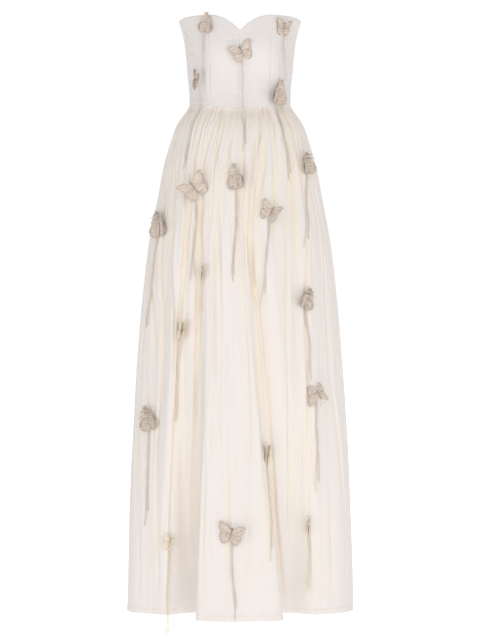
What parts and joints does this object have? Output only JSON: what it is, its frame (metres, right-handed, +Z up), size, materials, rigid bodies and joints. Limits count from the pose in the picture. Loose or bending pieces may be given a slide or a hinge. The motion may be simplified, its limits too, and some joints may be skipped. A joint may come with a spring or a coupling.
{
  "type": "strapless maxi dress",
  "caption": "Strapless sweetheart maxi dress with a princess-seamed bodice, a full gathered skirt and applied butterflies with thread tails, filled out as worn.",
  "frame": {"origin": "centre of the waist, at the level of the waist seam, where the wearer holds the dress up", "axes": "+Z up, the front faces -Y, +X to the right as seen from the front"},
  "size_m": [0.5196, 0.435, 1.4071],
  "materials": {
    "bodice_cloth": "matt plain weave, ivory",
    "skirt_cloth": "matt plain weave, ivory",
    "butterfly_thread": "matt stitched thread, taupe",
    "zip_tape": "matt woven tape",
    "zip_metal": "satin, painted pale"
  },
  "bodies": {
    "dress": {"bodice_front": "bodice_cloth", "bodice_side_front_left": "bodice_cloth", "bodice_side_front_right": "bodice_cloth", "bodice_side_back_left": "bodice_cloth", "bodice_side_back_right": "bodice_cloth", "bodice_back_left": "bodice_cloth", "bodice_back_right": "bodice_cloth", "skirt_front": "skirt_cloth", "skirt_back_left": "skirt_cloth", "skirt_back_right": "skirt_cloth", "butterfly_left_neckline": "butterfly_thread", "butterfly_right_neckline": "butterfly_thread", "butterfly_centre_bodice": "butterfly_thread", "butterfly_left_waist": "butterfly_thread", "butterfly_right_waist": "butterfly_thread", "butterfly_left_hip": "butterfly_thread", "butterfly_centre_hip": "butterfly_thread", "butterfly_right_front": "butterfly_thread", "butterfly_right_side_hip": "butterfly_thread", "butterfly_left_side_hip": "butterfly_thread", "butterfly_right_thigh": "butterfly_thread", "butterfly_right_knee": "butterfly_thread", "butterfly_left_recess_high": "butterfly_thread", "butterfly_left_recess_hip": "butterfly_thread", "butterfly_left_side_knee": "butterfly_thread", "butterfly_left_recess_low": "butterfly_thread", "butterfly_centre_shin": "butterfly_thread", "butterfly_right_recess_knee": "butterfly_thread", "butterfly_right_shin": "butterfly_thread", "butterfly_back_left_shoulder": "butterfly_thread", "butterfly_back_right_hip": "butterfly_thread", "butterfly_back_left_hip": "butterfly_thread", "butterfly_back_right_thigh": "butterfly_thread", "butterfly_back_centre_knee": "butterfly_thread", "butterfly_back_right_shin": "butterfly_thread", "zip_tape": "zip_tape", "zip_slider": "zip_metal"},
    "pull_tab": {"zip_pull_tab": "zip_metal"}
  },
  "joints": [
    {"name": "tab_swing", "type": "hinge", "parent": "dress", "child": "pull_tab", "pos_m": [0, 0.10018, 0.171], "axis": [1, 0, 0], "range_deg": [0, 160]}
  ]
}
